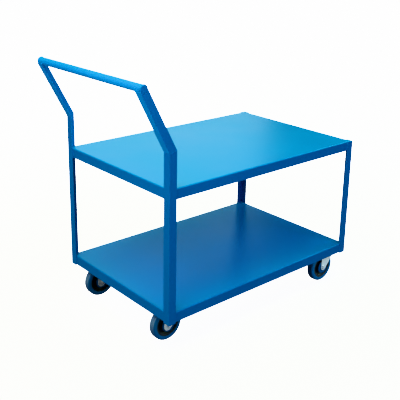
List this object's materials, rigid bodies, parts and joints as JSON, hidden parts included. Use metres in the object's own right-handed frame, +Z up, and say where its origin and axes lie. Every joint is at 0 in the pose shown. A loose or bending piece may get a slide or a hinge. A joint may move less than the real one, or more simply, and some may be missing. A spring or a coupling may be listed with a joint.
{
  "type": "platform trolley",
  "caption": "Two-deck platform trolley: folded sheet-metal decks between angle-iron posts, raked push handle, swivel castors at the handle end, fixed castors at the far end.",
  "frame": {"origin": "on the floor under the middle of the whole trolley, handle included", "axes": "+X along the length away from the handle, +Y across to the far side, +Z up; the castors all trail towards the handle"},
  "size_m": [1.0534, 0.6214, 0.9567],
  "materials": {
    "blue_paint": "satin blue powder coat with fine orange peel",
    "zinc_plate": "bright zinc-plated pressed steel",
    "bright_steel": "plain machined steel",
    "guard_plastic": "satin navy plastic",
    "rim_nylon": "moulded black nylon",
    "tyre": "blue elastic rubber, lightly dusty on the tread"
  },
  "bodies": {
    "frame": {"near_handle_post": "blue_paint", "far_handle_post": "blue_paint", "near_end_post": "blue_paint", "far_end_post": "blue_paint", "near_handle_arm": "blue_paint", "far_handle_arm": "blue_paint", "handle_crossbar": "blue_paint", "crossbar_end_caps": "blue_paint", "top_deck": "blue_paint", "lower_deck": "blue_paint", "top_deck_ribs": "blue_paint", "lower_deck_ribs": "blue_paint", "castor_pads": "blue_paint", "post_welds": "blue_paint", "handle_welds": "blue_paint", "castor_studs": "bright_steel", "castor_washers": "zinc_plate", "castor_nuts": "zinc_plate", "near_swivel_plate": "zinc_plate", "far_swivel_plate": "zinc_plate", "swivel_king_pins": "bright_steel", "swivel_upper_races": "zinc_plate", "near_fixed_plate": "zinc_plate", "far_fixed_plate": "zinc_plate", "near_fixed_fork": "zinc_plate", "far_fixed_fork": "zinc_plate", "fixed_fork_rivets": "bright_steel", "fixed_axle_bolts": "zinc_plate", "fixed_axle_nuts": "zinc_plate", "fixed_axle_sleeves": "bright_steel", "fixed_thread_guards": "guard_plastic"},
    "near_swivel": {"near_swivel_fork": "zinc_plate", "near_swivel_balls": "bright_steel", "near_swivel_axle_bolt": "zinc_plate", "near_swivel_axle_nut": "zinc_plate", "near_swivel_axle_sleeve": "bright_steel", "near_swivel_thread_guards": "guard_plastic"},
    "far_swivel": {"far_swivel_fork": "zinc_plate", "far_swivel_balls": "bright_steel", "far_swivel_axle_bolt": "zinc_plate", "far_swivel_axle_nut": "zinc_plate", "far_swivel_axle_sleeve": "bright_steel", "far_swivel_thread_guards": "guard_plastic"},
    "near_swivel_wheel": {"near_swivel_rim": "rim_nylon", "near_swivel_tyre": "tyre", "near_swivel_rollers": "bright_steel"},
    "far_swivel_wheel": {"far_swivel_rim": "rim_nylon", "far_swivel_tyre": "tyre", "far_swivel_rollers": "bright_steel"},
    "near_fixed_wheel": {"near_fixed_rim": "rim_nylon", "near_fixed_tyre": "tyre", "near_fixed_rollers": "bright_steel"},
    "far_fixed_wheel": {"far_fixed_rim": "rim_nylon", "far_fixed_tyre": "tyre", "far_fixed_rollers": "bright_steel"}
  },
  "joints": [
    {"name": "near_castor_swivel", "type": "hinge", "parent": "frame", "child": "near_swivel", "pos_m": [-0.31366, -0.21, 0.1385], "axis": [0, 0, 1], "continuous": true},
    {"name": "far_castor_swivel", "type": "hinge", "parent": "frame", "child": "far_swivel", "pos_m": [-0.31366, 0.21, 0.1385], "axis": [0, 0, 1], "continuous": true},
    {"name": "near_swivel_wheel_spin", "type": "hinge", "parent": "near_swivel", "child": "near_swivel_wheel", "pos_m": [-0.34966, -0.21, 0.0625], "axis": [0, 1, 0], "continuous": true},
    {"name": "far_swivel_wheel_spin", "type": "hinge", "parent": "far_swivel", "child": "far_swivel_wheel", "pos_m": [-0.34966, 0.21, 0.0625], "axis": [0, 1, 0], "continuous": true},
    {"name": "near_fixed_wheel_spin", "type": "hinge", "parent": "frame", "child": "near_fixed_wheel", "pos_m": [0.43034, -0.26, 0.0625], "axis": [0, 1, 0], "continuous": true},
    {"name": "far_fixed_wheel_spin", "type": "hinge", "parent": "frame", "child": "far_fixed_wheel", "pos_m": [0.43034, 0.26, 0.0625], "axis": [0, 1, 0], "continuous": true}
  ]
}
